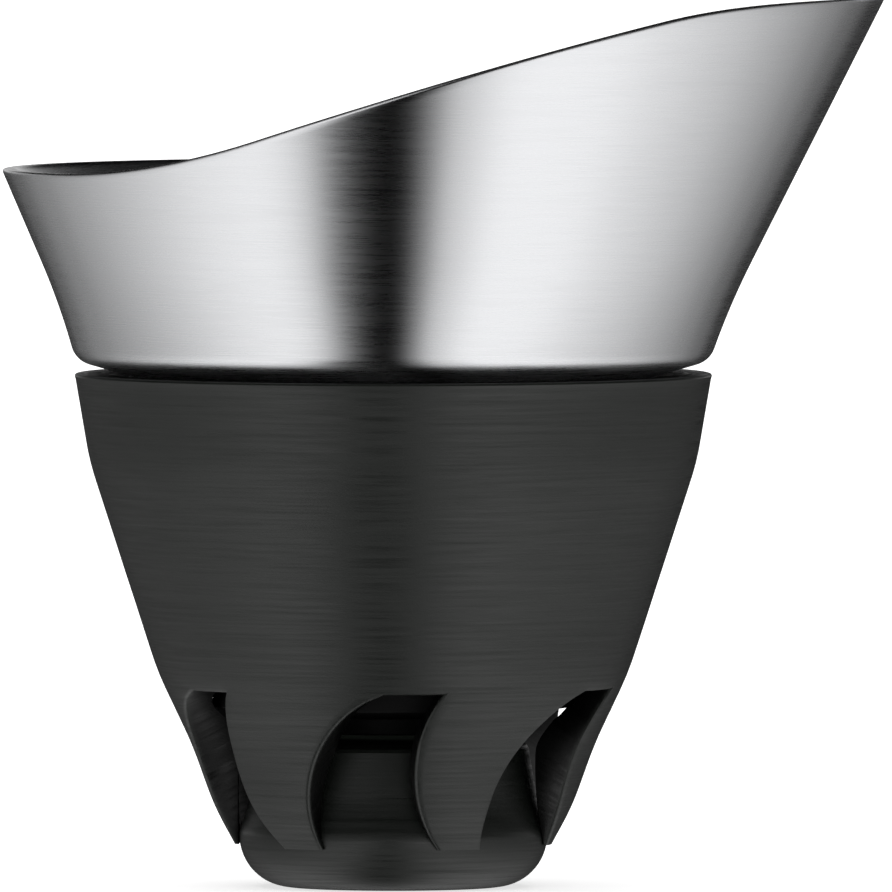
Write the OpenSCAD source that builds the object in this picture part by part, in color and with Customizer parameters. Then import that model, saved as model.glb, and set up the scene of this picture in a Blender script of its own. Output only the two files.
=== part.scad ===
// Decanting pourer for wine. A flared steel cup with a slanted pouring lip sits in the mouth of a
// tapered body, and spiral slots round the body's foot spread the wine over a decanter's wall.
// Lengths are in millimetres. The origin is the centre of the foot's flat face, +Z is up, and +X
// points the way the lip leans.

/* [Body] */
// Height of the body's top rim
body_h = 29; // [28.8:0.05:29.1]
// Outer radius at the top rim
rim_r = 18; // [17.8:0.1:18.6]
// Height of the bend between the upper band and the long taper
bend_z = 24; // [23.4:0.1:24.4]
// Outer radius at that bend
bend_r = 17.15; // [17.05:0.05:17.6]
// Height of the shoulder where the slotted foot starts
shoulder_z = 12.1; // [11.6:0.1:13]
// Outer radius at the shoulder
shoulder_r = 13.3; // [12.8:0.1:14]
// Outer radius at the height of the base plug's top
hip_r = 11.4; // [11.2:0.1:11.8]
// Outer radius where the slots end
foot_r = 9; // [8.95:0.05:9.3]
// Thickness of the body's wall
body_wall = 2; // [1.8:0.1:2.2]

/* [Spiral slots] */
// Number of slots round the foot
slot_count = 6; // [4:1:6]
// Height of the slots' ceiling
slot_top_z = 11.3; // [10.8:0.1:11.5]
// Height where the slots run out
slot_foot_z = 2.4; // [2.4:0.1:3]
// Radius of the curved leading edge
lead_r = 6.25; // [6:0.05:6.4]
// Radius of the curved trailing edge
trail_r = 7.4; // [7.2:0.05:7.6]
// Turn of the first slot about the axis, in degrees
slot_turn = 19; // [0:1:60]

/* [Base plug] */
// Radius where the ribs grip the plug
plug_r = 8.7; // [8.5:0.1:8.8]
// Height of the plug's upper edge
plug_h = 8.1; // [7.8:0.1:8.5]
// Radius of the cone at its upper edge
cone_top_r = 7.6; // [7.2:0.1:7.8]
// Height where the cone starts, above the ribs' grip
cone_z = 3.1; // [3:0.1:3.5]
// Radius of the rounded edge at the table
plug_edge_r = 2.9; // [2:0.1:3]
// Rise of the domed top that sends the wine outwards
dome_rise = 0.5; // [0.2:0.1:0.8]

/* [Flow insert] */
// Outer radius of the nozzle that pours onto the plug
nozzle_r = 5.6; // [5:0.1:6]
// Height where the nozzle widens into the funnel
nozzle_top_z = 9.7; // [9.5:0.1:10]
// Outer radius of the skirt above the nozzle
skirt_r = 9.9; // [9.6:0.1:10]
// Height of the lower edge of the insert's rim
insert_z = 12.4; // [12.3:0.1:12.8]
// Thickness of the insert's wall
insert_wall = 0.8; // [0.6:0.1:0.9]

/* [Steel cup] */
// Height where the straight wall meets the round corner
waist_z = 30.45; // [30.45:0.05:30.8]
// Outer radius there
waist_r = 18.15; // [18:0.05:18.3]
// Radius of the round corner under the wall
corner_r = 1.4; // [1.2:0.05:1.5]
// Angle of the cup's sloping floor, in degrees
floor_angle = 16; // [14:1:17]
// Thickness of the sheet, measured across
sheet = 0.85; // [0.7:0.05:0.9]
// Outward slope of the wall at the waist
waist_slope = 0.318; // [0.25:0.002:0.34]
// Outward slope of the wall where it runs straight
flare_slope = 0.467; // [0.4:0.01:0.5]
// Height over which the slope grows
flare_h = 4.9; // [3:0.1:6]
// Sideways lean of the flare towards the lip, per unit of height
lean = 0.04; // [0:0.002:0.06]

/* [Slanted rim] */
// Height of the rim above the cup's axis
rim_mid_z = 42.75; // [42:0.05:43.5]
// Steepest angle of the rim, in degrees
rim_angle = 16.8; // [10:0.2:18]
// Radius of the hollow curve behind the axis
rim_hollow_r = 51; // [45:1:60]
// Distance from the axis where the rim starts to level off
rim_crest_x = 22; // [20:0.5:23]
// Radius of the curve that levels it off
rim_crest_r = 23; // [20:1:26]

/* [Neck and seal] */
// Outer radius of the neck that enters the body
neck_r = 15; // [14.9:0.05:15]
// Height of the neck's lower end
neck_z = 24.3; // [24.3:0.1:24.6]
// Radius of the opening below the strainer's seat
seat_r = 12.8; // [12:0.1:13]
// Height of the sealing ring
seal_h = 2.4; // [2:0.1:2.5]

/* [Strainer] */
// Outer radius of the strainer's rim
strainer_r = 13.95; // [13.8:0.05:14]
// Height of the strainer's rim
strainer_h = 1.1; // [0.9:0.1:1.5]
// Thickness of the wire cloth
cloth_t = 0.3; // [0.2:0.05:0.4]

/* [Hidden] */
$fn = 96;
plastic = [0.20, 0.21, 0.20];
steel = [0.78, 0.78, 0.79];
silicone = [0.12, 0.12, 0.12];
fit_gap = 0.02;                            // between the plug and the ribs it is pressed between
run_gap = 0.06;                            // round the sealing ring, which turns and slides
seat_gap = 0.1;                            // under a piece that lifts out
mouth_r = 16;                              // bore of the body's mouth
groove_r = 16.4;                           // bottom of the groove that holds the sealing ring
groove_z = body_h - 3.85;                  // the groove's lower side
groove_h = seal_h + 2 * seat_gap;
corner_mid = [waist_r - corner_r * cos(atan(waist_slope)), waist_z + corner_r * sin(atan(waist_slope))];
cup_hole_r = neck_r + fit_gap;
floor_end = corner_mid + corner_r * [sin(floor_angle), -cos(floor_angle)];
cup_floor_z = floor_end[1] - (floor_end[0] - cup_hole_r) * tan(floor_angle);   // underside at the neck
floor_t = sheet / cos(floor_angle);        // upright thickness of the floor
seat_t = 0.7;                              // thickness of the strainer's seat
strainer_z = neck_z + seat_t + seat_gap;
columns = 72;                              // facets round the cup
wall_rows = 6;                             // facets up the cup's wall

// Outer and inner outlines of the body, from the mouth down
outer_line = [[rim_r, body_h], [bend_r, bend_z], [shoulder_r, shoulder_z], [hip_r, plug_h],
              [foot_r + 1.1, slot_foot_z + 2.1], [foot_r, slot_foot_z]];
bore_r = plug_r + fit_gap;
inner_line = [[bore_r, slot_foot_z], [bore_r, plug_h + seat_gap], [bore_r + 1.2, plug_h + 1.8],
              [shoulder_r - body_wall - 0.35, shoulder_z - 1.75], [shoulder_r - body_wall, shoulder_z], [bend_r - body_wall, bend_z - 0.1],
              [mouth_r, groove_z - 0.4], [mouth_r, groove_z], [groove_r, groove_z],
              [groove_r, groove_z + groove_h], [mouth_r, groove_z + groove_h],
              [mouth_r, body_h - 0.3], [mouth_r + 0.3, body_h]];

// Points of an arc about a centre, from one angle to another
function arc(c, r, from, to, n) = [for (i = [0:n]) let (a = from + (to - from) * i / n) c + r * [cos(a), sin(a)]];

// Radius of the cup's outer face at a height above the waist
function cup_r(h) = waist_r + waist_slope * h
    + (flare_slope - waist_slope) * (h < flare_h ? h * h / (2 * flare_h) : h - flare_h / 2);

// Height of the slanted cut at a distance from the axis: a hollow arc, a straight, a crest arc
function cut_z(x) =
    x < 0 ? let (d = min(-x, rim_hollow_r * sin(rim_angle)))
            rim_mid_z + rim_hollow_r * cos(rim_angle) - sqrt(rim_hollow_r ^ 2 - (rim_hollow_r * sin(rim_angle) - d) ^ 2)
    : x < rim_crest_x ? rim_mid_z + x * tan(rim_angle)
    : let (d = min(x - rim_crest_x, rim_crest_r * sin(rim_angle)))
      rim_mid_z + rim_crest_x * tan(rim_angle) - rim_crest_r * cos(rim_angle)
      + sqrt(rim_crest_r ^ 2 - (rim_crest_r * sin(rim_angle) - d) ^ 2);

// Height of the rim at an angle round the cup, where the leaning wall meets the cut
function rim_z(a, n = 8) = n == 0 ? rim_mid_z
    : let (h = rim_z(a, n - 1) - waist_z) cut_z(lean * h + cup_r(h) * cos(a));

// A point of the cup's wall: its angle, its share of the way up to the rim, its inset
function wall_point(a, share, inset) = let (h = share * (rim_z(a) - waist_z), r = cup_r(h) - inset)
    [lean * h + r * cos(a), r * sin(a), waist_z + h];

module body_shell() {
    color(plastic) difference() {
        rotate_extrude() polygon(concat(outer_line, inner_line));
        for (i = [0:slot_count - 1]) rotate([0, 0, slot_turn + i * 360 / slot_count]) slot();
    }
}

// One slot, cut straight in from -Y: the leading circle less the trailing one
module slot() {
    rotate([90, 0, 0]) translate([0, 0, 4]) linear_extrude(height = rim_r) intersection() {
        difference() {
            translate([1.5, 5.4]) circle(lead_r);
            translate([8.6, 6.65]) circle(trail_r);
        }
        translate([-lead_r, slot_foot_z - 1]) square([2 * lead_r, slot_top_z - slot_foot_z + 1]);
    }
}

module base_plug() {
    color(plastic) rotate_extrude() polygon(concat([[0, 0]],
        arc([plug_r - plug_edge_r, plug_edge_r], plug_edge_r, -90, 0, 8),
        [[plug_r, cone_z], [cone_top_r, plug_h - 0.2], [cone_top_r - 0.2, plug_h], [0, plug_h + dome_rise]]));
}

// Funnel pressed into the body, which leads the wine onto the middle of the plug
module flow_insert() {
    lip_z = plug_h + dome_rise + 0.15;
    top_z = insert_z + insert_wall;
    wall_r = shoulder_r - body_wall - fit_gap;
    wall_slope = (bend_r - shoulder_r) / (bend_z - 0.1 - shoulder_z);
    low_r = wall_r + wall_slope * (insert_z - shoulder_z);
    top_r = wall_r + wall_slope * (top_z - shoulder_z);
    bore = nozzle_r - insert_wall;
    skirt_z = nozzle_top_z + 0.5;
    color(plastic) rotate_extrude() polygon([[bore, lip_z], [nozzle_r, lip_z], [nozzle_r, nozzle_top_z],
        [skirt_r, skirt_z], [skirt_r, skirt_z + 1], [low_r, insert_z], [top_r, top_z],
        [low_r - insert_wall, top_z], [skirt_r - insert_wall, skirt_z + 1.4],
        [skirt_r - insert_wall, skirt_z + insert_wall], [bore, nozzle_top_z + insert_wall]]);
}

// Silicone ring with two lips inside, held in the mouth's groove
module mouth_seal() {
    outer = groove_r - run_gap;
    inner = neck_r + run_gap;
    z = groove_z + seat_gap;
    color(silicone) rotate_extrude() polygon([[outer, z], [outer, z + seal_h], [inner + 0.3, z + seal_h],
        [inner, z + seal_h - 0.3], [inner, z + seal_h - 0.7], [inner + 0.3, z + seal_h / 2],
        [inner, z + 0.7], [inner, z + 0.3], [inner + 0.3, z]]);
}

// Cup as one closed skin: up the outer face, over the rim and down the inner face
module spout_cup() {
    slope_angle = atan(waist_slope);
    low = floor_angle - 90;
    underside = concat([[cup_hole_r, cup_floor_z]], arc(corner_mid, corner_r, low, -slope_angle - 12, 5));
    floor_top = concat(arc(corner_mid, corner_r - sheet, -slope_angle - 12, low, 4),
        [[cup_hole_r, cup_floor_z + floor_t]]);
    steps = [0:wall_rows];
    rows = len(underside) + 2 * wall_rows + 1 + len(floor_top);
    points = [for (j = [0:columns - 1]) let (a = 360 * j / columns) each concat(
        [for (p = underside) [p[0] * cos(a), p[0] * sin(a), p[1]]],
        [for (i = steps) wall_point(a, i / wall_rows, 0)],
        [for (i = [wall_rows:-1:1]) wall_point(a, i / wall_rows, sheet)],
        [for (p = floor_top) [p[0] * cos(a), p[0] * sin(a), p[1]]])];
    faces = [for (j = [0:columns - 1], i = [0:rows - 1]) let (
        k = (j + 1) % columns, u = (i + 1) % rows,
        p = j * rows + i, q = j * rows + u, r = k * rows + u, s = k * rows + i) each [[p, q, r], [p, r, s]]];
    color(steel) polyhedron(points, faces);
}

// Neck with a flange on the cup's floor and an inner seat for the strainer
module neck_tube() {
    flange_r = neck_r + 1.1;
    flange_z = cup_floor_z + floor_t + fit_gap;
    rise = 1.1 * tan(floor_angle);
    inner = neck_r - sheet;
    color(steel) rotate_extrude() polygon([[seat_r, neck_z], [neck_r - 0.3, neck_z], [neck_r, neck_z + 0.3],
        [neck_r, flange_z], [flange_r, flange_z + rise], [flange_r, flange_z + rise + 0.5],
        [inner + 0.5, flange_z + 0.5], [inner, flange_z], [inner, neck_z + seat_t], [seat_r, neck_z + seat_t]]);
}

module strainer_rim() {
    color(steel) translate([0, 0, strainer_z]) rotate_extrude()
        polygon([[seat_r + 0.2, 0], [strainer_r - 0.2, 0], [strainer_r, 0.2], [strainer_r, strainer_h - 0.3],
                 [strainer_r - 0.3, strainer_h], [seat_r + 0.5, strainer_h], [seat_r + 0.2, strainer_h - 0.3]]);
}

module strainer_mesh() {
    color(steel) translate([0, 0, strainer_z + 0.4]) cylinder(h = cloth_t, r = seat_r + 0.5);
}

body_shell();
base_plug();
flow_insert();
mouth_seal();
spout_cup();
neck_tube();
strainer_rim();
strainer_mesh();
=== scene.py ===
"""Looks of a decanting pourer: a leaning steel cup in a slotted plastic body, round its CAD frame."""

import math

import bpy
from bpy.props import FloatProperty, FloatVectorProperty, IntProperty, PointerProperty
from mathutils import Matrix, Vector


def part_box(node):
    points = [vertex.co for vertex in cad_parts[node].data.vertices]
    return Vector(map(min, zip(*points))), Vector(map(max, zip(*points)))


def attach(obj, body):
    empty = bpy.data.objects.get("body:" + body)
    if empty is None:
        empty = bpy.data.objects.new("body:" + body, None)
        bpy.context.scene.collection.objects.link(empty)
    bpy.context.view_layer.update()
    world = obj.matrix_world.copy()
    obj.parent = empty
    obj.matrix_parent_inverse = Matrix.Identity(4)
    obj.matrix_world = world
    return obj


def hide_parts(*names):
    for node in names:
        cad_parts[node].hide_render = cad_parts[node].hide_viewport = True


bl_info = {
    "name": "Decanting pourer",
    "version": (1, 0, 0),
    "blender": (4, 5, 0),
    "location": "View3D > Sidebar > Pourer",
    "description": "Builds the cup, slotted body, plug, seal, neck and strainer of a decanting pourer",
    "category": "Add Mesh",
}

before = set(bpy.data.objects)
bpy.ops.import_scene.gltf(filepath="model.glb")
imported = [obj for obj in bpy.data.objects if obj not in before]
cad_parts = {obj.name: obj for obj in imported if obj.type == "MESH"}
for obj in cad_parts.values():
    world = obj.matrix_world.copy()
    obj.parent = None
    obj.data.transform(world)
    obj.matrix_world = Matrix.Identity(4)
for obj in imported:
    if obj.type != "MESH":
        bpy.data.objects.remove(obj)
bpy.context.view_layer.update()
MM = 0.001
TINY = 0.001 * MM
FIT_GAP = 0.02 * MM      # between pieces that are pressed together
BEND_DROP = 0.1 * MM     # how far the body's inner bend lies below the outer one

BODY_LOW, BODY_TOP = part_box("body_shell")
PLUG_LOW, PLUG_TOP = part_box("base_plug")
INSERT_LOW, INSERT_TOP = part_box("flow_insert")
CUP_LOW, CUP_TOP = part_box("spout_cup")
NECK_LOW, NECK_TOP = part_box("neck_tube")
SEAL_LOW, SEAL_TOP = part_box("mouth_seal")
HOOP_LOW, HOOP_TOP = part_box("strainer_rim")
CLOTH_LOW, CLOTH_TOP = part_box("strainer_mesh")


def length(name, text, millimetres):
    """A size in the sidebar, given here in millimetres."""
    return FloatProperty(name=name, description=text, default=millimetres * MM,
                         unit="LENGTH", precision=5)


def angle(name, text, degrees):
    """An angle in the sidebar, given here in degrees."""
    return FloatProperty(name=name, description=text, default=math.radians(degrees), subtype="ANGLE")


def colour(name, text, value):
    """A colour in the sidebar."""
    return FloatVectorProperty(name=name, description=text, default=value,
                               subtype="COLOR", size=3, min=0, max=1)


def amount(name, text, value):
    """A plain number in the sidebar."""
    return FloatProperty(name=name, description=text, default=value)


class BodySizes(bpy.types.PropertyGroup):
    """Outline, wall and slots of the body."""

    bend_z: length("Bend height", "Height where the upper band meets the long taper", 24)
    bend_r: length("Bend radius", "Outer radius at the bend", 17.15)
    shoulder_z: length("Shoulder height", "Height where the slotted foot starts", 12.1)
    shoulder_r: length("Shoulder radius", "Outer radius at the shoulder", 13.3)
    hip_z: length("Hip height", "Height of the plug's upper edge", 8.1)
    hip_r: length("Hip radius", "Outer radius at the plug's upper edge", 11.4)
    ankle_z: length("Ankle height", "Height where the ribs turn in to the foot", 4.5)
    ankle_r: length("Ankle radius", "Outer radius at the ankle", 10.1)
    foot_r: length("Foot radius", "Outer radius at the ribs' lower ends", 8.95)
    wall: length("Wall", "Thickness of the wall above the slots", 2)
    soften: length("Softening", "Height over which a bend in the outline is rounded", 0.9)
    mouth_r: length("Mouth radius", "Radius of the bore that takes the neck", 16)
    rim_round: length("Rim rounding", "Radius of the body's top edge", 0.15)
    slot_count: IntProperty(name="Slots", description="Number of spiral slots", default=6, min=3, max=8)
    slot_top: length("Slot ceiling", "Height of the slots' ceiling", 11.3)
    lead_x: length("Leading centre x", "Sideways place of the leading circle's centre", 1.5)
    lead_z: length("Leading centre z", "Height of the leading circle's centre", 5.4)
    lead_r: length("Leading radius", "Radius of the slot's leading edge", 6.25)
    trail_x: length("Trailing centre x", "Sideways place of the trailing circle's centre", 8.6)
    trail_z: length("Trailing centre z", "Height of the trailing circle's centre", 6.65)
    trail_r: length("Trailing radius", "Radius of the slot's trailing edge", 7.4)
    slot_turn: angle("Slot turn", "Turn of the first slot about the axis", 19)
    slot_round: length("Slot rounding", "Radius of the slots' outer edges", 0.22)


class PlugSizes(bpy.types.PropertyGroup):
    """The cone-topped plug in the foot."""

    edge_r: length("Edge radius", "Radius of the rounded edge at the table", 2.9)
    cone_z: length("Cone height", "Height where the cone starts", 3.1)
    upper_z: length("Upper edge", "Height of the cone's upper edge", 8.1)
    upper_r: length("Upper radius", "Radius of the cone's upper edge", 7.6)


class InsertSizes(bpy.types.PropertyGroup):
    """The funnel pressed into the body above the plug."""

    nozzle_r: length("Nozzle radius", "Outer radius of the nozzle that pours onto the plug", 5.6)
    nozzle_top: length("Nozzle top", "Height where the nozzle widens into the funnel", 9.7)
    skirt_r: length("Skirt radius", "Outer radius of the skirt above the nozzle", 10.2)
    wall: length("Insert wall", "Thickness of the insert's wall", 0.8)


class CupSizes(bpy.types.PropertyGroup):
    """The steel cup: waist, flare, lean and slanted rim."""

    waist_z: length("Waist height", "Height where the wall meets the round corner", 30.45)
    waist_r: length("Waist radius", "Outer radius there", 18.15)
    corner_r: length("Corner radius", "Radius of the round corner under the wall", 1.4)
    floor_angle: angle("Floor angle", "Slope of the cup's floor", 16)
    sheet: length("Sheet", "Thickness of the steel", 0.85)
    hole_r: length("Hole radius", "Radius of the hole that the neck fills", 15.02)
    waist_slope: amount("Waist slope", "Outward slope of the wall at the waist", 0.318)
    flare_slope: amount("Flare slope", "Outward slope where the wall runs straight", 0.467)
    flare_h: length("Flare height", "Height over which the slope grows", 4.9)
    lean: amount("Lean", "Lean of the flare towards the lip, per unit of height", 0.04)
    rim_mid_z: length("Rim height", "Height of the rim above the axis", 42.75)
    rim_angle: angle("Rim angle", "Steepest angle of the rim", 16.8)
    hollow_r: length("Hollow radius", "Radius of the hollow curve behind the axis", 51)
    crest_x: length("Crest start", "Distance from the axis where the rim levels off", 22)
    crest_r: length("Crest radius", "Radius of the curve that levels it off", 23)
    edge_round: length("Edge rounding", "Radius of the polished rim edge", 0.24)


class NeckSizes(bpy.types.PropertyGroup):
    """The neck, its strainer and the sealing ring."""

    neck_r: length("Neck radius", "Outer radius of the neck", 15)
    wall: length("Neck wall", "Thickness of the neck's wall", 0.85)
    seat_r: length("Seat radius", "Radius of the opening under the strainer", 12.8)
    seat_t: length("Seat thickness", "Thickness of the strainer's seat", 0.7)
    flange_t: length("Flange thickness", "Thickness of the flange on the cup's floor", 0.5)
    lip_r: length("Lip radius", "Inner radius of the sealing ring's lips", 15.06)
    wire_pitch: length("Wire pitch", "Distance between neighbouring wires", 0.7)
    wire_d: length("Wire diameter", "Diameter of one wire", 0.15)


class Finishes(bpy.types.PropertyGroup):
    """Colours of the pourer's finishes."""

    steel: colour("Steel", "Brushed steel", (0.74, 0.745, 0.76))
    plastic: colour("Plastic", "Matt charcoal plastic", (0.0085, 0.0105, 0.0085))
    # Painted shade: this near-black colour stands in for the shade on the flow insert inside the body
    shade_black: colour("Raw plastic", "Black plastic without lacquer", (0.003, 0.003, 0.003))
    silicone: colour("Silicone", "Sealing ring", (0.02, 0.02, 0.021))
    floor: colour("Floor", "Pale floor", (0.93, 0.93, 0.93))


class StageSizes(bpy.types.PropertyGroup):
    """Camera, floor and light."""

    azimuth: angle("Camera azimuth", "Turn of the camera about the axis", 19)
    elevation: angle("Camera elevation", "Height of the camera as an angle", 2)
    distance: length("Camera distance", "Distance from the camera to what it aims at", 2200)
    aim_side: length("Aim sideways", "How far right of the axis the camera aims", 2.976)
    aim_z: length("Aim height", "Height that the camera aims at", 24.88)
    view_w: length("View width", "Width that the picture covers at the aim", 50.37)
    floor_w: length("Floor width", "Width of the floor", 40000)
    rear: amount("Rear light", "Strength of the light from behind, above the horizon", 0.6)
    sun: amount("Overhead light", "Strength of the soft light from above", 2.4)


# Outlines and curves ---------------------------------------------------------------------------

SOFTEN_SAMPLES = 4       # heights taken on each side of a point when a bend is rounded
RIM_PASSES = 8           # rounds that bring the rim's height to rest on the cut


def arc(centre, radius, start, stop, steps):
    """Points of an arc, as radius and height, with angles in radians."""
    angles = [start + (stop - start) * i / steps for i in range(steps + 1)]
    return [(centre[0] + radius * math.cos(a), centre[1] + radius * math.sin(a)) for a in angles]


def on_line(points, z):
    """Radius at a height on a line through points that rise, carried straight on past its ends."""
    for (r0, z0), (r1, z1) in zip(points, points[1:]):
        if z <= z1 or (r1, z1) == points[-1]:
            return r0 + (r1 - r0) * (z - z0) / (z1 - z0)


def softened(points, z, reach):
    """Radius on the line with its bends rounded, as the mean over a short stretch of height."""
    steps = range(-SOFTEN_SAMPLES, SOFTEN_SAMPLES + 1)
    return sum(on_line(points, z + reach * i / SOFTEN_SAMPLES) for i in steps) / len(steps)


def smooth_step(low, high, value):
    """0 below low, 1 above high, and a smooth rise between."""
    t = min(max((value - low) / (high - low), 0), 1)
    return t * t * (3 - 2 * t)


def body_outer(body):
    """Outer outline of the body from the foot up."""
    return [(body.foot_r, BODY_LOW.z), (body.ankle_r, body.ankle_z), (body.hip_r, body.hip_z),
            (body.shoulder_r, body.shoulder_z), (body.bend_r, body.bend_z), (BODY_TOP.x, BODY_TOP.z)]


def body_inner(body):
    """Inner outline of the body from the foot up to the mouth."""
    bore_r = PLUG_TOP.x + FIT_GAP
    hall_r = body.shoulder_r - body.wall
    return [(bore_r, BODY_LOW.z), (bore_r, body.hip_z + 0.1 * MM),
            (bore_r + 1.2 * MM, body.hip_z + 1.8 * MM),
            (hall_r - 0.35 * MM, body.shoulder_z - 1.75 * MM), (hall_r, body.shoulder_z),
            (body.bend_r - body.wall, body.bend_z - BEND_DROP)]


def slot_sides(body, z):
    """Sideways places of a slot's two edges at a height, seen square on."""
    lead = body.lead_x - math.sqrt(body.lead_r ** 2 - (z - body.lead_z) ** 2)
    trail = body.trail_x - math.sqrt(body.trail_r ** 2 - (z - body.trail_z) ** 2)
    return lead, trail


def cup_r(cup, h):
    """Radius of the cup's outer face at a height above the waist."""
    grown = h * h / (2 * cup.flare_h) if h < cup.flare_h else h - cup.flare_h / 2
    return cup.waist_r + cup.waist_slope * h + (cup.flare_slope - cup.waist_slope) * grown


def cut_z(cup, x):
    """Height of the slanted cut at a distance from the axis: hollow arc, straight, crest arc."""
    lean_in, level = math.sin(cup.rim_angle), math.cos(cup.rim_angle)
    if x < 0:
        run = min(-x, cup.hollow_r * lean_in)
        drop = math.sqrt(cup.hollow_r ** 2 - (cup.hollow_r * lean_in - run) ** 2)
        return cup.rim_mid_z + cup.hollow_r * level - drop
    if x < cup.crest_x:
        return cup.rim_mid_z + x * math.tan(cup.rim_angle)
    run = min(x - cup.crest_x, cup.crest_r * lean_in)
    rise = math.sqrt(cup.crest_r ** 2 - (cup.crest_r * lean_in - run) ** 2)
    return cup.rim_mid_z + cup.crest_x * math.tan(cup.rim_angle) - cup.crest_r * level + rise


def rim_z(cup, turn):
    """Height of the rim at an angle round the cup, where the leaning wall meets the cut."""
    z = cup.rim_mid_z
    for _ in range(RIM_PASSES):
        h = z - cup.waist_z
        z = cut_z(cup, cup.lean * h + cup_r(cup, h) * math.cos(turn))
    return z


def wall_point(cup, turn, share, inset):
    """A point of the cup's wall, from its angle, its share of the way up and its inset."""
    h = share * (rim_z(cup, turn) - cup.waist_z)
    r = cup_r(cup, h) - inset
    return Vector((cup.lean * h + r * math.cos(turn), r * math.sin(turn), cup.waist_z + h))


# Modelling by hand -----------------------------------------------------------------------------

CORNER = math.radians(28)    # bends sharper than this are rounded


def choose(piece):
    """Selects one piece alone and makes it the active one."""
    bpy.ops.object.select_all(action="DESELECT")
    piece.select_set(True)
    bpy.context.view_layer.objects.active = piece


def start_ring(name, columns, radius, z):
    """A ring of edges at its radius and height, left selected in edit mode."""
    bpy.ops.object.select_all(action="DESELECT")
    bpy.ops.mesh.primitive_circle_add(vertices=columns, radius=radius, fill_type="NOTHING")
    piece = bpy.context.object
    piece.name = name
    piece.data.name = name
    bpy.ops.object.mode_set(mode="EDIT")
    bpy.ops.mesh.select_all(action="SELECT")
    bpy.ops.transform.translate(value=(0, 0, z))
    return piece


def turn_outline(name, columns, outline, closed):
    """A turned shape: the ring is extruded and sized from each point of the outline to the next."""
    piece = start_ring(name, columns, *outline[0])
    if closed:
        outline = outline + outline[:1]
    for (r0, z0), (r1, z1) in zip(outline, outline[1:]):
        bpy.ops.mesh.extrude_region_move(TRANSFORM_OT_translate={"value": (0, 0, z1 - z0)})
        bpy.ops.transform.resize(value=(r1 / r0, r1 / r0, 1), center_override=(0, 0, 0))
    if closed:
        bpy.ops.mesh.select_all(action="SELECT")
        bpy.ops.mesh.remove_doubles(threshold=TINY)
    bpy.ops.object.mode_set(mode="OBJECT")
    return piece


def pick(parts, test):
    """Selects the parts of a mesh that pass a test, and nothing else, in object mode."""
    for part in parts:
        part.select = test(part)


def edit(piece, mode):
    """Clears a mesh's selection and sets what is picked, and leaves the piece in object mode."""
    choose(piece)
    bpy.ops.object.mode_set(mode="EDIT")
    bpy.ops.mesh.select_mode(type=mode)
    bpy.ops.mesh.select_all(action="DESELECT")
    bpy.ops.object.mode_set(mode="OBJECT")


def cap(piece, z):
    """Fills the ring of edges at a height."""
    edit(piece, "VERT")
    pick(piece.data.vertices, lambda v: abs(v.co.z - z) < TINY)
    bpy.ops.object.mode_set(mode="EDIT")
    bpy.ops.mesh.edge_face_add()
    bpy.ops.object.mode_set(mode="OBJECT")


def outwards(piece):
    """Turns all faces outwards."""
    edit(piece, "VERT")
    bpy.ops.object.mode_set(mode="EDIT")
    bpy.ops.mesh.select_all(action="SELECT")
    bpy.ops.mesh.normals_make_consistent(inside=False)
    bpy.ops.object.mode_set(mode="OBJECT")


def round_edges(piece, width, limit="ANGLE", steps=3):
    """Rounds the sharp or the marked edges and applies it."""
    bevel = piece.modifiers.new("round", "BEVEL")
    bevel.width = width
    bevel.segments = steps
    bevel.limit_method = limit
    bevel.angle_limit = CORNER
    bevel.miter_outer = "MITER_ARC"
    choose(piece)
    bpy.ops.object.modifier_apply(modifier=bevel.name)


def smooth(piece, degrees=32):
    """Smooth shading that leaves true corners sharp."""
    choose(piece)
    bpy.ops.object.shade_smooth_by_angle(angle=math.radians(degrees))


def fit_out(piece, cad_node, body, finish):
    """Gives a finished piece its material and its moving body, and hides the CAD node it stands for."""
    piece.data.materials.clear()
    piece.data.materials.append(bpy.data.materials[finish])
    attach(piece, body)
    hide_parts(cad_node)


def mark_edges(piece, weight_of):
    """Sets how much of the rounding each edge takes."""
    mesh = piece.data
    weights = mesh.attributes.new("bevel_weight_edge", "FLOAT", "EDGE")
    for edge in mesh.edges:
        weights.data[edge.index].value = weight_of(edge)


# Materials -------------------------------------------------------------------------------------

SPECK = 0.09 * MM        # grain of moulded or lacquered plastic


class Wire:
    """A shader socket that sums, products and comparisons can be written with."""

    def __init__(self, tree, socket):
        self.tree = tree
        self.socket = socket

    def calc(self, operation, *values):
        """A Math node on this socket and the other values."""
        node = self.tree.nodes.new("ShaderNodeMath")
        node.operation = operation
        for socket, value in zip(node.inputs, values):
            plug_in(self.tree, socket, value)
        return Wire(self.tree, node.outputs[0])

    def __add__(self, other):
        return self.calc("ADD", self, other)

    def __radd__(self, other):
        return self.calc("ADD", other, self)

    def __sub__(self, other):
        return self.calc("SUBTRACT", self, other)

    def __rsub__(self, other):
        return self.calc("SUBTRACT", other, self)

    def __mul__(self, other):
        return self.calc("MULTIPLY", self, other)

    def __rmul__(self, other):
        return self.calc("MULTIPLY", other, self)

    def __pow__(self, other):
        return self.calc("POWER", self, other)


def plug_in(tree, socket, value):
    """Links a wire to a socket, or sets the socket's own value."""
    if isinstance(value, Wire):
        tree.links.new(value.socket, socket)
    else:
        socket.default_value = value


def node(tree, kind, values=None, settings=None, out=0):
    """Any other node, from its type, its sockets' values or links and its settings."""
    made = tree.nodes.new(kind)
    for name, value in (settings or {}).items():
        if name == "stops":
            ramp = made.color_ramp
            while len(ramp.elements) < len(value):
                ramp.elements.new(0.5)
            for stop, (place, level) in zip(ramp.elements, value):
                stop.position = place
                stop.color = (level, level, level, 1)
        elif name == "interpolation":
            made.color_ramp.interpolation = value
        else:
            setattr(made, name, value)
    for name, value in (values or {}).items():
        plug_in(tree, made.inputs[name], value)
    return Wire(tree, made.outputs[out]) if made.outputs else None


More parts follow.
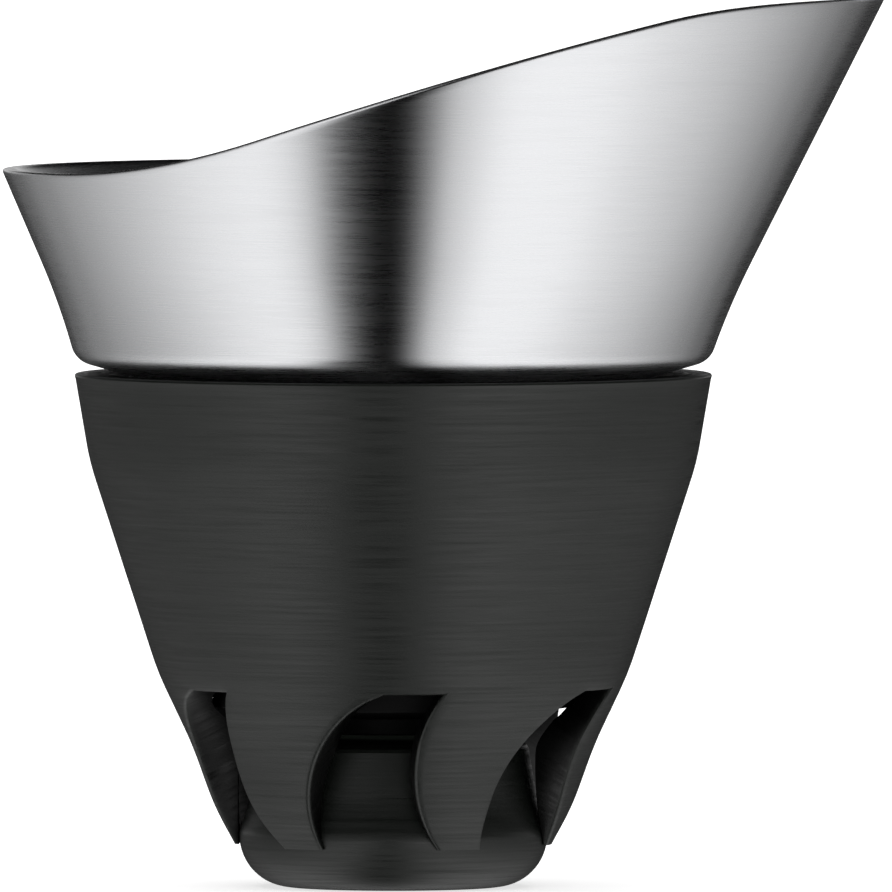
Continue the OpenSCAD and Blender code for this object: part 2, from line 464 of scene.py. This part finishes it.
def new_finish(name):
    """An empty material with its node tree."""
    finish = bpy.data.materials.new(name)
    finish.use_nodes = True
    finish.node_tree.nodes.clear()
    return finish, finish.node_tree


def finish_off(tree, values):
    """The shader at the end of a material."""
    shader = node(tree, "ShaderNodeBsdfPrincipled", values)
    node(tree, "ShaderNodeOutputMaterial", {"Surface": shader})


def xyz(tree, source):
    """The x, y and z of one of the Texture Coordinate node's outputs."""
    place = node(tree, "ShaderNodeTexCoord", out=source)
    split = tree.nodes.new("ShaderNodeSeparateXYZ")
    plug_in(tree, split.inputs[0], place)
    return [Wire(tree, socket) for socket in split.outputs]


def turned_coordinates(tree, along, across):
    """Places for a pattern round the axis: long one way, fine up the walls and across the floors."""
    x, y, z = xyz(tree, "Object")
    radius = (x * x + y * y) ** 0.5
    fine = (z + radius * 0.6) * across
    return node(tree, "ShaderNodeCombineXYZ", {"X": x * along, "Y": y * along, "Z": fine})


def streaks(tree, along, across, detail=3):
    """Noise drawn out round the axis by belt or lathe, from its spots per metre along and across."""
    place = turned_coordinates(tree, along, across)
    values = {"Vector": place, "Scale": 1, "Detail": detail, "Roughness": 0.6}
    return node(tree, "ShaderNodeTexNoise", values)


def grain(tree, size):
    """Even noise with spots of a given size."""
    place = node(tree, "ShaderNodeTexCoord", out="Object")
    values = {"Vector": place, "Scale": 1 / size, "Detail": 2, "Roughness": 0.5}
    return node(tree, "ShaderNodeTexNoise", values)


def tone(tree, base, shade):
    """The base colour made lighter or darker by a wire about 1."""
    grey = node(tree, "ShaderNodeCombineColor", {"Red": shade, "Green": shade, "Blue": shade})
    mix = tree.nodes.new("ShaderNodeMix")
    mix.data_type = "RGBA"
    mix.blend_type = "MULTIPLY"
    mix.inputs[0].default_value = 1
    mix.inputs[6].default_value = (*base, 1)
    plug_in(tree, mix.inputs[7], grey)
    return Wire(tree, mix.outputs[2])


def bump(tree, height, depth):
    """A bumped normal from a height between 0 and 1 and its depth."""
    return node(tree, "ShaderNodeBump", {"Strength": 1, "Distance": depth, "Height": height})


def brushed_steel(name, base, roughness, depth, anisotropy):
    """Steel brushed round the axis: drawn-out streaks in its gloss, tone and surface."""
    finish, tree = new_finish(name)
    fine = streaks(tree, 350, 11000)
    broad = streaks(tree, 120, 2600, 2)
    gloss = roughness + (fine - 0.5) * 0.16 + (broad - 0.5) * 0.1
    shade = 1 + (fine - 0.5) * 0.14 + (broad - 0.5) * 0.08
    finish_off(tree, {
        "Base Color": tone(tree, base, shade),
        "Metallic": 1.0,
        "Roughness": gloss,
        "Anisotropic": anisotropy,
        "Anisotropic Rotation": 0.25,
        "Normal": bump(tree, fine * 0.6 + broad * 0.4, depth),
    })
    return finish


def recess_shade_mask(tree, outline):
    """1 on the outer skin and 0 deeper than 0.2 to 0.4 mm inside it, from the outer outline, foot first:
    the mask of the shade painted into the slots' walls and the hollow.
    """
    x, y, z = xyz(tree, "Object")
    skin = 0 - (x * x + y * y) ** 0.5 + outline[0][0]
    for (r0, z0), (r1, z1) in zip(outline, outline[1:]):
        values = {"Value": z, "From Min": z0, "From Max": z1, "To Min": 0.0, "To Max": r1 - r0}
        skin = skin + node(tree, "ShaderNodeMapRange", values)
    values = {"Value": skin, "From Min": 0.2 * MM, "From Max": 0.4 * MM, "To Min": 1.0, "To Max": 0.0}
    return node(tree, "ShaderNodeMapRange", values)


def matt_plastic(name, base, outline=None):
    """Charcoal plastic, brushed faintly round; with an outline, the slots' walls and the hollow are
    darkened to near black as painted shade.
    """
    finish, tree = new_finish(name)
    lines = streaks(tree, 130, 4200)
    specks = grain(tree, SPECK)
    clouds = grain(tree, 3 * MM)
    shade = 1 + (lines - 0.5) * 0.6 + (clouds - 0.5) * 0.3
    # Painted shade: everything deeper than the outer skin, in the slots and the hollow, is darkened to
    # 5% of the base colour
    painted_shade = recess_shade_mask(tree, outline) * 0.95 + 0.05 if outline else 1.0
    finish_off(tree, {
        "Base Color": tone(tree, base, shade * painted_shade),
        "Roughness": 0.43 + (lines - 0.5) * 0.6 + (specks - 0.5) * 0.1,
        "Specular IOR Level": 0.5,
        "Normal": bump(tree, lines * 0.8 + specks * 0.2, 0.015 * MM),
    })
    return finish


def painted_shade_black(base):
    """Near-black plastic: painted shade for the flow insert deep inside the body."""
    finish, tree = new_finish("painted_shade_black")
    specks = grain(tree, SPECK)
    finish_off(tree, {
        "Base Color": tone(tree, base, 1 + (specks - 0.5) * 0.4),
        "Roughness": 0.6 + (specks - 0.5) * 0.15,
        "Specular IOR Level": 0.1,
        "Normal": bump(tree, specks, 0.004 * MM),
    })
    return finish


def soft_silicone(base):
    """Dark silicone with a faint bloom."""
    finish, tree = new_finish("dark_silicone")
    bloom = grain(tree, 0.6 * MM)
    specks = grain(tree, 0.12 * MM)
    finish_off(tree, {
        "Base Color": tone(tree, base, 1 + (bloom - 0.5) * 0.7),
        "Roughness": 0.62 + (bloom - 0.5) * 0.2,
        "Normal": bump(tree, specks, 0.004 * MM),
    })
    return finish


def drawn_wire(base):
    """Bright wire with fine scratches."""
    finish, tree = new_finish("drawn_wire")
    scratches = grain(tree, 0.05 * MM)
    finish_off(tree, {
        "Base Color": tone(tree, base, 1 + (scratches - 0.5) * 0.25),
        "Metallic": 1.0,
        "Roughness": 0.28 + (scratches - 0.5) * 0.2,
        "Normal": bump(tree, scratches, 0.002 * MM),
    })
    return finish


def pale_floor(base):
    """Plain matt floor."""
    finish, tree = new_finish("pale_floor")
    mottle = grain(tree, 40 * MM)
    finish_off(tree, {
        "Base Color": tone(tree, base, 1 + (mottle - 0.5) * 0.02),
        "Roughness": 0.9,
        "Specular IOR Level": 0.0,
        "Emission Color": (1, 1, 1, 1),
        "Emission Strength": 0.7,
    })
    finish.cycles.emission_sampling = "NONE"
    return finish


# Pieces ----------------------------------------------------------------------------------------

COLUMNS_IN_SLOT = 12
COLUMNS_IN_RIB = 10
SECTOR_COLUMNS = COLUMNS_IN_SLOT + COLUMNS_IN_RIB
ROWS_AT_SLOTS = 26
ROWS_ABOVE = 26
CUP_COLUMNS = 180
RING_COLUMNS = 144       # neck, sealing ring and strainer's hoop
PLUG_COLUMNS = 120       # plug and flow insert
WIRE_SIDES = 5
STRAIGHTEN_OVER = 9 * MM         # height over which the columns stand up again above the slots
STRAIGHTEN_TURN = math.radians(8)    # where a slot's middle column ends up, from the slot's turn
NUDGE = 0.125            # share of a column that keeps a sector's first column in its own sector
SKIN_OUT = 30 * MM       # places where the body's two skins wait until their columns are moved
SKIN_IN = 25 * MM


def body_rows(body, top):
    """Heights of the body's rows of faces, closest at the slots."""
    slotted = body.slot_top - BODY_LOW.z
    plain = top - body.slot_top
    rows = [BODY_LOW.z + slotted * i / ROWS_AT_SLOTS for i in range(ROWS_AT_SLOTS + 1)]
    return rows + [body.slot_top + plain * i / ROWS_ABOVE for i in range(1, ROWS_ABOVE + 1)]


def slot_column(body, turn):
    """Which slot's sector a turn about the axis lies in, and its place there in columns."""
    place = (turn % math.tau) / math.tau * body.slot_count * SECTOR_COLUMNS
    return int(place // SECTOR_COLUMNS), place % SECTOR_COLUMNS


def slot_window(body, turn):
    """Whether a face's turn lies inside a slot."""
    return slot_column(body, turn)[1] < COLUMNS_IN_SLOT


def column_turn(body, sector, column, z):
    """Turn of a column at a height, so that the columns run along the slots' sides."""
    step = math.tau / body.slot_count
    at = min(z, body.slot_top)
    radius = softened(body_outer(body), at, body.soften)
    lead, trail = (math.asin(x / radius) for x in slot_sides(body, at))
    if column <= COLUMNS_IN_SLOT:
        bent = lead + (trail - lead) * column / COLUMNS_IN_SLOT
    else:
        bent = trail + (lead + step - trail) * (column - COLUMNS_IN_SLOT) / COLUMNS_IN_RIB
    even = (column - COLUMNS_IN_SLOT / 2) / SECTOR_COLUMNS * step + STRAIGHTEN_TURN
    upright = smooth_step(body.slot_top, body.slot_top + STRAIGHTEN_OVER, z)
    return bent + (even - bent) * upright + body.slot_turn - math.pi / 2 + sector * step


def place_body_point(body, point):
    """Moves a point of the two waiting skins to its place on the body."""
    turn, radius, z = math.atan2(point.y, point.x), math.hypot(point.x, point.y), point.z
    outer = abs(radius - SKIN_OUT) < MM
    inner = abs(radius - SKIN_IN) < MM
    step = math.tau / (body.slot_count * SECTOR_COLUMNS)
    sector, column = slot_column(body, turn + step * NUDGE)
    column = round(column - NUDGE)
    if outer:
        radius = softened(body_outer(body), z, body.soften)
    if inner:
        radius = softened(body_inner(body), z, body.soften / 2)
    turned = column_turn(body, sector, column, z)
    return Vector((radius * math.cos(turned), radius * math.sin(turned), z))


class PourerBody(bpy.types.Operator):
    """Turn the body's two skins, cut the slots through both and run the columns along them"""

    bl_idname = "pourer.body"
    bl_label = "Slotted body"

    def execute(self, context):
        body = context.scene.pourer_body
        top = BODY_TOP.z
        columns = body.slot_count * SECTOR_COLUMNS
        rows = body_rows(body, top - 2 * body.rim_round)
        inner_rows = [z for z in reversed(rows) if z < body.bend_z - MM]
        groove_low, groove_top = SEAL_LOW.z - 0.1 * MM, SEAL_TOP.z + 0.1 * MM
        groove_r = SEAL_TOP.x + 0.06 * MM
        rim_mid = (BODY_TOP.x - body.rim_round, top - body.rim_round)
        rim = arc(rim_mid, body.rim_round, 0, math.pi / 2, 3)
        mouth = [(body.mouth_r + 0.3 * MM, top), (body.mouth_r + 0.08 * MM, top - 0.1 * MM),
                 (body.mouth_r, top - 0.3 * MM), (body.mouth_r, groove_top), (groove_r, groove_top),
                 (groove_r, groove_low), (body.mouth_r, groove_low),
                 (body.mouth_r, groove_low - 0.4 * MM),
                 (body.bend_r - body.wall, body.bend_z - BEND_DROP)]
        outline = [(SKIN_OUT, z) for z in rows] + rim + mouth + [(SKIN_IN, z) for z in inner_rows]
        piece = turn_outline("slotted_body", columns, outline, False)
        self.cut_slots(piece, body)
        for vertex in piece.data.vertices:
            vertex.co = place_body_point(body, vertex.co)
        outwards(piece)
        round_edges(piece, body.slot_round, "WEIGHT", 3)
        smooth(piece)
        # The body's material holds painted shade in its slots and hollow
        fit_out(piece, "body_shell", "body", "plastic_with_painted_shade")
        return {"FINISHED"}

    def cut_slots(self, piece, body):
        """Opens the slots in both skins, joins the skins round them and marks what is rounded."""
        mesh = piece.data

        def in_slot(face):
            spot = face.center
            return (math.hypot(spot.x, spot.y) > SKIN_IN - 2 * MM and spot.z < body.slot_top
                    and slot_window(body, math.atan2(spot.y, spot.x)))

        edit(piece, "FACE")
        pick(mesh.polygons, in_slot)
        bpy.ops.object.mode_set(mode="EDIT")
        bpy.ops.mesh.delete(type="FACE")
        bpy.ops.mesh.select_mode(type="EDGE")
        bpy.ops.mesh.select_non_manifold()
        bpy.ops.mesh.bridge_edge_loops()
        bpy.ops.object.mode_set(mode="OBJECT")

        walls = set()
        for face in mesh.polygons:
            spread = [math.hypot(*mesh.vertices[i].co.xy) for i in face.vertices]
            if max(spread) > SKIN_OUT - MM and abs(min(spread) - SKIN_IN) < MM:
                walls.update(face.edge_keys)

        def weight(edge):
            a, b = (mesh.vertices[i].co for i in edge.vertices)
            along_wall = edge.key in walls
            above_foot = max(a.z, b.z) > BODY_LOW.z + TINY
            if not (along_wall and above_foot):
                return 0
            if math.hypot(a.x, a.y) > SKIN_OUT - MM and math.hypot(b.x, b.y) > SKIN_OUT - MM:
                return 0.35 + 0.65 * smooth_step(BODY_LOW.z, BODY_LOW.z + 2 * MM, (a.z + b.z) / 2)
            if math.hypot(a.x, a.y) < SKIN_IN + MM and math.hypot(b.x, b.y) < SKIN_IN + MM:
                return 0.3
            return 0

        mark_edges(piece, weight)


class PourerPlug(bpy.types.Operator):
    """Turn the plug with its round foot, cone and low dome"""

    bl_idname = "pourer.plug"
    bl_label = "Cone plug"

    def execute(self, context):
        plug = context.scene.pourer_plug
        plug_r = PLUG_TOP.x
        half = ((plug_r + plug.upper_r) / 2, plug.cone_z + 0.35 * (plug.upper_z - plug.cone_z))
        cone = [(plug_r, plug.cone_z), half, (plug.upper_r, plug.upper_z)]
        edge = 0.25 * MM
        steps = 14
        tall = plug.upper_z - edge - plug.cone_z
        heights = [plug.cone_z + tall * i / steps for i in range(steps + 1)]
        side = [(softened(cone, z, 0.5 * MM), z) for z in heights]
        side[0] = cone[0]
        shoulder = arc((plug.upper_r - edge, plug.upper_z - edge), edge, 0.2, math.pi / 2, 4)
        rise = PLUG_TOP.z - plug.upper_z
        dome = [(shoulder[-1][0] * math.cos(t), plug.upper_z + rise * math.sin(t))
                for t in (math.pi / 2 * i / 10 for i in range(1, 10))]
        foot = arc((plug_r - plug.edge_r, plug.edge_r), plug.edge_r, -math.pi / 2, 0, 16)
        outline = foot + side + shoulder + dome + [(0.3 * MM, PLUG_TOP.z)]
        piece = turn_outline("foot_plug", PLUG_COLUMNS, outline, False)
        cap(piece, 0)
        cap(piece, PLUG_TOP.z)
        outwards(piece)
        smooth(piece)
        fit_out(piece, "base_plug", "body", "charcoal_plastic")
        return {"FINISHED"}


class PourerInsert(bpy.types.Operator):
    """Turn the funnel that leads the wine onto the plug"""

    bl_idname = "pourer.insert"
    bl_label = "Flow insert"

    def execute(self, context):
        insert, body = context.scene.pourer_insert, context.scene.pourer_body
        low, top, top_r = INSERT_LOW.z, INSERT_TOP.z, INSERT_TOP.x
        slope = (body.bend_r - body.shoulder_r) / (body.bend_z - BEND_DROP - body.shoulder_z)
        low_r = top_r - slope * insert.wall
        bore = insert.nozzle_r - insert.wall
        skirt_r, skirt_z = insert.skirt_r, insert.nozzle_top + 0.5 * MM
        outline = [(bore, low), (insert.nozzle_r, low), (insert.nozzle_r, insert.nozzle_top),
                   (skirt_r, skirt_z), (skirt_r, skirt_z + MM), (low_r, top - insert.wall), (top_r, top),
                   (low_r - insert.wall, top), (skirt_r - insert.wall, skirt_z + 1.4 * MM),
                   (skirt_r - insert.wall, skirt_z + insert.wall),
                   (bore, insert.nozzle_top + insert.wall)]
        piece = turn_outline("flow_insert_funnel", PLUG_COLUMNS, outline, True)
        outwards(piece)
        round_edges(piece, 0.12 * MM)
        smooth(piece)
        # The insert is painted near black as the shade inside the body
        fit_out(piece, "flow_insert", "body", "painted_shade_black")
        return {"FINISHED"}


class PourerCup(bpy.types.Operator):
    """Turn the cup upright, then lean its wall and slant its rim"""

    bl_idname = "pourer.cup"
    bl_label = "Steel cup"

    def execute(self, context):
        cup = context.scene.pourer_cup
        slope = math.atan(cup.waist_slope)
        mid = (cup.waist_r - cup.corner_r * math.cos(slope),
               cup.waist_z + cup.corner_r * math.sin(slope))
        rows = 26
        tall = 20 * MM       # of the upright wall, before each row is moved to its own height
        outside = [(cup.waist_r, cup.waist_z + tall * i / rows) for i in range(1, rows + 1)]
        inside = [(cup.waist_r - cup.sheet, z) for _, z in reversed(outside)]
        low = cup.floor_angle - math.pi / 2
        under = [(cup.hole_r, CUP_LOW.z)] + arc(mid, cup.corner_r, low, -slope, 12)
        floor = arc(mid, cup.corner_r - cup.sheet, -slope - 0.1, low, 10)
        floor.append((cup.hole_r, CUP_LOW.z + cup.sheet / math.cos(cup.floor_angle)))
        piece = turn_outline("cup_sheet", CUP_COLUMNS, under + outside + inside + floor, True)
        rim = cup.waist_z + tall

        def weight(edge):
            a, b = (piece.data.vertices[i].co for i in edge.vertices)
            level = abs(a.z - b.z) < TINY and abs(a.xy.length - b.xy.length) < TINY
            if level and abs(a.z - rim) < TINY:
                return 1
            at_hole = level and abs(a.xy.length - cup.hole_r) < TINY
            return 0.4 if at_hole else 0

        mark_edges(piece, weight)
        for vertex in piece.data.vertices:
            share = (vertex.co.z - cup.waist_z) / tall
            if share > 0.5 / rows:
                inset = 0 if vertex.co.xy.length > cup.waist_r - cup.sheet / 2 else cup.sheet
                vertex.co = wall_point(cup, math.atan2(vertex.co.y, vertex.co.x), share, inset)
        outwards(piece)
        round_edges(piece, cup.edge_round, "WEIGHT", 4)
        smooth(piece, 40)
        fit_out(piece, "spout_cup", "spout", "belt_brushed_steel")
        return {"FINISHED"}


class PourerNeck(bpy.types.Operator):
    """Turn the neck with its flange and the strainer's seat"""

    bl_idname = "pourer.neck"
    bl_label = "Neck sleeve"

    def execute(self, context):
        neck = context.scene.pourer_neck
        low, inner = NECK_LOW.z, neck.neck_r - neck.wall
        flange_r, flange_top = NECK_TOP.x, NECK_TOP.z
        flange_low = flange_top - neck.flange_t
        cup = context.scene.pourer_cup
        neck_top = CUP_LOW.z + cup.sheet / math.cos(cup.floor_angle) + FIT_GAP
        outline = [(neck.seat_r, low), (neck.neck_r, low), (neck.neck_r, neck_top),
                   (flange_r, flange_low), (flange_r, flange_top),
                   (inner + neck.flange_t, neck_top + neck.flange_t),
                   (inner, neck_top), (inner, low + neck.seat_t), (neck.seat_r, low + neck.seat_t)]
        piece = turn_outline("neck_sleeve", RING_COLUMNS, outline, True)
        outwards(piece)
        round_edges(piece, 0.14 * MM)
        smooth(piece)
        fit_out(piece, "neck_tube", "spout", "lathe_turned_steel")
        return {"FINISHED"}


class PourerSeal(bpy.types.Operator):
    """Turn the sealing ring with its two soft lips"""

    bl_idname = "pourer.seal"
    bl_label = "Sealing ring"

    def execute(self, context):
        neck = context.scene.pourer_neck
        low, top, outer = SEAL_LOW.z, SEAL_TOP.z, SEAL_TOP.x
        lip, back = neck.lip_r, neck.lip_r + 0.3 * MM
        near, far = 0.3 * MM, 0.7 * MM       # where each lip's tip starts and ends, from the ring's face
        outline = [(outer, low), (outer, top), (back, top), (lip, top - near), (lip, top - far),
                   (back, (low + top) / 2), (lip, low + far), (lip, low + near), (back, low)]
        piece = turn_outline("mouth_ring", RING_COLUMNS, outline, True)
        outwards(piece)
        round_edges(piece, 0.1 * MM)
        smooth(piece)
        fit_out(piece, "mouth_seal", "seal", "dark_silicone")
        return {"FINISHED"}


class PourerHoop(bpy.types.Operator):
    """Turn the strainer's hoop"""

    bl_idname = "pourer.hoop"
    bl_label = "Strainer hoop"

    def execute(self, context):
        neck = context.scene.pourer_neck
        low, top, outer = HOOP_LOW.z, HOOP_TOP.z, HOOP_TOP.x
        inner = neck.seat_r + 0.2 * MM
        outline = [(inner, low), (outer, low), (outer, top), (inner, top)]
        piece = turn_outline("strainer_hoop", RING_COLUMNS, outline, True)
        outwards(piece)
        round_edges(piece, 0.28 * MM, "ANGLE", 4)
        smooth(piece)
        fit_out(piece, "strainer_rim", "strainer", "lathe_turned_steel")
        return {"FINISHED"}


class PourerCloth(bpy.types.Operator):
    """Weave the strainer's cloth: each wire is drawn on its own across the disc, as long as the disc is
    wide there
    """

    bl_idname = "pourer.cloth"
    bl_label = "Wire cloth"

    def execute(self, context):
        neck = context.scene.pourer_neck
        pitch, wire = neck.wire_pitch, neck.wire_d
        disc_r = CLOTH_TOP.x
        count = int(disc_r // pitch)
        mid = (CLOTH_LOW.z + CLOTH_TOP.z) / 2
        swing = (CLOTH_TOP.z - CLOTH_LOW.z - wire) / 2
        parts = []
        for crossing in (0, 1):
            for i in range(-count, count + 1):
                half = math.sqrt(disc_r ** 2 - (i * pitch) ** 2)
                parts.append(self.wire(i, crossing, int(half * 2 / pitch), pitch, wire, swing, mid))
        bpy.ops.object.select_all(action="DESELECT")
        for part in parts:
            part.select_set(True)
        bpy.context.view_layer.objects.active = parts[0]
        bpy.ops.object.join()
        piece = parts[0]
        piece.name = "wire_cloth"
        piece.data.name = "wire_cloth"
        outwards(piece)
        smooth(piece, 75)
        fit_out(piece, "strainer_mesh", "strainer", "drawn_wire")
        return {"FINISHED"}

    def wire(self, index, crossing, reach, pitch, diameter, swing, mid):
        """One wire, waving over and under the wires that cross it."""
        steps = range(-reach, reach + 1)
        phase = 1 if (index + crossing) % 2 else -1
        points = [(j * pitch / 2, mid + phase * swing * math.cos(j * math.pi / 2)) for j in steps]
        bpy.ops.mesh.primitive_circle_add(vertices=WIRE_SIDES, radius=diameter / 2, fill_type="NGON")
        part = bpy.context.object
        bpy.ops.object.mode_set(mode="EDIT")
        bpy.ops.mesh.select_all(action="SELECT")
        bpy.ops.transform.rotate(value=math.pi / 2, orient_axis="Y", center_override=(0, 0, 0))
        bpy.ops.transform.translate(value=(points[0][0], index * pitch, points[0][1]))
        for (x0, z0), (x1, z1) in zip(points, points[1:]):
            bpy.ops.mesh.extrude_region_move(TRANSFORM_OT_translate={"value": (x1 - x0, 0, z1 - z0)})
        if crossing:
            bpy.ops.mesh.select_all(action="SELECT")
            bpy.ops.transform.rotate(value=math.pi / 2, orient_axis="Z", center_override=(0, 0, 0))
        bpy.ops.object.mode_set(mode="OBJECT")
        return part


# Stage -----------------------------------------------------------------------------------------

# Brightness round the horizon, by degrees from straight behind the object: dim behind, grey sides,
# a wide softbox front left and front right, and a dark gap between them where the camera stands
SURROUND = [(0, 0.02), (20, 0.05), (30, 0.12), (72, 0.3), (103, 0.48), (122, 0.66), (136, 0.86),
            (151, 1.17), (162, 1.28), (167, 1.0), (171, 0.12), (173, 0.0), (181, 0.0), (183, 0.2),
            (187, 0.85), (194, 1.3), (205, 1.3), (216, 1.05), (228, 0.85), (246, 0.62), (260, 0.48),
            (281, 0.32), (310, 0.16), (335, 0.03)]

WALL_H = 0.35            # how far up, as a share of straight up, the studio's lit walls reach
CEILING = 0.04           # brightness above them, as a share of theirs
FOLD = 1.5               # how fast a direction below the horizon swings round to the front
SENSOR = 36              # width of the camera's sensor in millimetres


class PourerStage(bpy.types.Operator):
    """Set up the camera, the pale floor and the soft light"""

    bl_idname = "pourer.stage"
    bl_label = "Stage"

    def execute(self, context):
        stage = context.scene.pourer_stage
        self.camera(context, stage)
        self.floor(stage)
        self.light(stage)
        self.surround(context, stage)
        context.scene.view_settings.view_transform = "Standard"
        return {"FINISHED"}

    def camera(self, context, stage):
        """A long lens, a little above level and turned a little towards the lip."""
        turn, tilt = stage.azimuth, stage.elevation
        right = Vector((math.cos(turn), math.sin(turn), 0))
        level = Vector((math.sin(turn), -math.cos(turn), 0))
        away = Vector((level.x * math.cos(tilt), level.y * math.cos(tilt), math.sin(tilt)))
        aim = right * stage.aim_side + Vector((0, 0, stage.aim_z))
        bpy.ops.object.camera_add(location=aim + away * stage.distance,
                                  rotation=(math.pi / 2 - tilt, 0, turn))
        camera = bpy.context.object
        camera.name = "camera"
        camera.data.sensor_width = SENSOR
        camera.data.lens = SENSOR * stage.distance / stage.view_w
        camera.data.clip_start = 0.01
        camera.data.clip_end = 200
        context.scene.camera = camera

    def floor(self, stage):
        """A wide pale floor that the steel does not mirror."""
        bpy.ops.mesh.primitive_plane_add(size=stage.floor_w, location=(0, 0, 0))
        floor = bpy.context.object
        floor.name = "floor"
        floor.data.materials.append(bpy.data.materials["pale_floor"])
        floor.visible_glossy = False

    def light(self, stage):
        """Soft light from above."""
        bpy.ops.object.light_add(type="SUN", location=(0, 0, 0.5), rotation=(0, 0, 0))
        sun = bpy.context.object
        sun.name = "overhead"
        sun.data.energy = stage.sun
        sun.data.angle = math.radians(70)
        sun.visible_glossy = False

    def surround(self, context, stage):
        """A studio all round: soft to the steel and the plastic, plain white to the camera."""
        world = bpy.data.worlds.new("studio")
        world.use_nodes = True
        context.scene.world = world
        tree = world.node_tree
        tree.nodes.clear()
        x, y, z = xyz(tree, "Generated")
        right = x * math.cos(stage.azimuth) + y * math.sin(stage.azimuth)
        behind = y * math.cos(stage.azimuth) - x * math.sin(stage.azimuth)
        below = z.calc("MAXIMUM", 0 - z, 0.0) * FOLD
        turn = right.calc("ARCTAN2", 0 - right, behind - below) * (1 / math.tau)
        stops = [(degrees / 360, level / 2) for degrees, level in SURROUND]
        around = node(tree, "ShaderNodeValToRGB", {"Fac": turn.calc("FRACT", turn)},
                      {"stops": stops, "interpolation": "EASE"})
        low = node(tree, "ShaderNodeMapRange",
                   {"Value": z, "From Min": 0.0, "From Max": WALL_H, "To Min": 1.0, "To Max": CEILING},
                   {"interpolation_type": "SMOOTHSTEP"})
        rise = node(tree, "ShaderNodeMapRange", {"Value": z, "From Min": 0.0, "From Max": 0.05})
        fall = node(tree, "ShaderNodeMapRange", {"Value": z, "From Min": 0.3, "From Max": 0.1})
        rear = rise * fall * behind.calc("MAXIMUM", behind, 0.0) * stage.rear
        studio = node(tree, "ShaderNodeBackground", {"Color": around, "Strength": low * 2})
        back = node(tree, "ShaderNodeBackground", {"Color": (1, 1, 1, 1), "Strength": rear})
        studio = node(tree, "ShaderNodeAddShader", {0: studio, 1: back})
        white = node(tree, "ShaderNodeBackground", {"Color": (1, 1, 1, 1), "Strength": 1.0})
        seen = node(tree, "ShaderNodeLightPath", out="Is Camera Ray")
        mixed = node(tree, "ShaderNodeMixShader", {0: seen, 1: studio, 2: white})
        node(tree, "ShaderNodeOutputWorld", {"Surface": mixed})


class PourerFinishes(bpy.types.Operator):
    """Make the materials"""

    bl_idname = "pourer.finishes"
    bl_label = "Finishes"

    def execute(self, context):
        finishes = context.scene.pourer_finishes
        brushed_steel("belt_brushed_steel", finishes.steel, 0.28, 0.0015 * MM, 0.97)
        brushed_steel("lathe_turned_steel", finishes.steel, 0.24, 0.001 * MM, 0.5)
        # The body's plastic, with painted shade in its slots and hollow
        matt_plastic("plastic_with_painted_shade", finishes.plastic, body_outer(context.scene.pourer_body))
        matt_plastic("charcoal_plastic", finishes.plastic)
        # Painted shade for the flow insert
        painted_shade_black(finishes.shade_black)
        soft_silicone(finishes.silicone)
        drawn_wire(finishes.steel)
        pale_floor(finishes.floor)
        return {"FINISHED"}


class PourerPanel(bpy.types.Panel):
    """Lists the steps and sizes of the pourer"""

    bl_idname = "VIEW3D_PT_pourer"
    bl_label = "Decanting pourer"
    bl_space_type = "VIEW_3D"
    bl_region_type = "UI"
    bl_category = "Pourer"

    def draw(self, context):
        layout = self.layout
        for step in STEPS:
            layout.operator(step.bl_idname)
        for name in SIZES:
            box = layout.box()
            box.label(text=name.replace("_", " "))
            sizes = getattr(context.scene, name)
            for prop in sizes.bl_rna.properties:
                if not prop.is_readonly and prop.identifier != "name":
                    box.prop(sizes, prop.identifier)


STEPS = (PourerFinishes, PourerStage, PourerBody, PourerPlug, PourerInsert, PourerSeal, PourerCup,
         PourerNeck, PourerHoop, PourerCloth)
SIZES = {
    "pourer_body": BodySizes,
    "pourer_plug": PlugSizes,
    "pourer_insert": InsertSizes,
    "pourer_cup": CupSizes,
    "pourer_neck": NeckSizes,
    "pourer_finishes": Finishes,
    "pourer_stage": StageSizes,
}


def register():
    for name, group in SIZES.items():
        bpy.utils.register_class(group)
        setattr(bpy.types.Scene, name, PointerProperty(type=group))
    for step in STEPS:
        bpy.utils.register_class(step)
    bpy.utils.register_class(PourerPanel)


def unregister():
    bpy.utils.unregister_class(PourerPanel)
    for step in reversed(STEPS):
        bpy.utils.unregister_class(step)
    for name, group in reversed(SIZES.items()):
        delattr(bpy.types.Scene, name)
        bpy.utils.unregister_class(group)


def main():
    register()
    bpy.ops.pourer.finishes()
    bpy.ops.pourer.stage()
    bpy.ops.pourer.body()
    bpy.ops.pourer.plug()
    bpy.ops.pourer.insert()
    bpy.ops.pourer.seal()
    bpy.ops.pourer.cup()
    bpy.ops.pourer.neck()
    bpy.ops.pourer.hoop()
    bpy.ops.pourer.cloth()


if __name__ == "__main__":
    main()
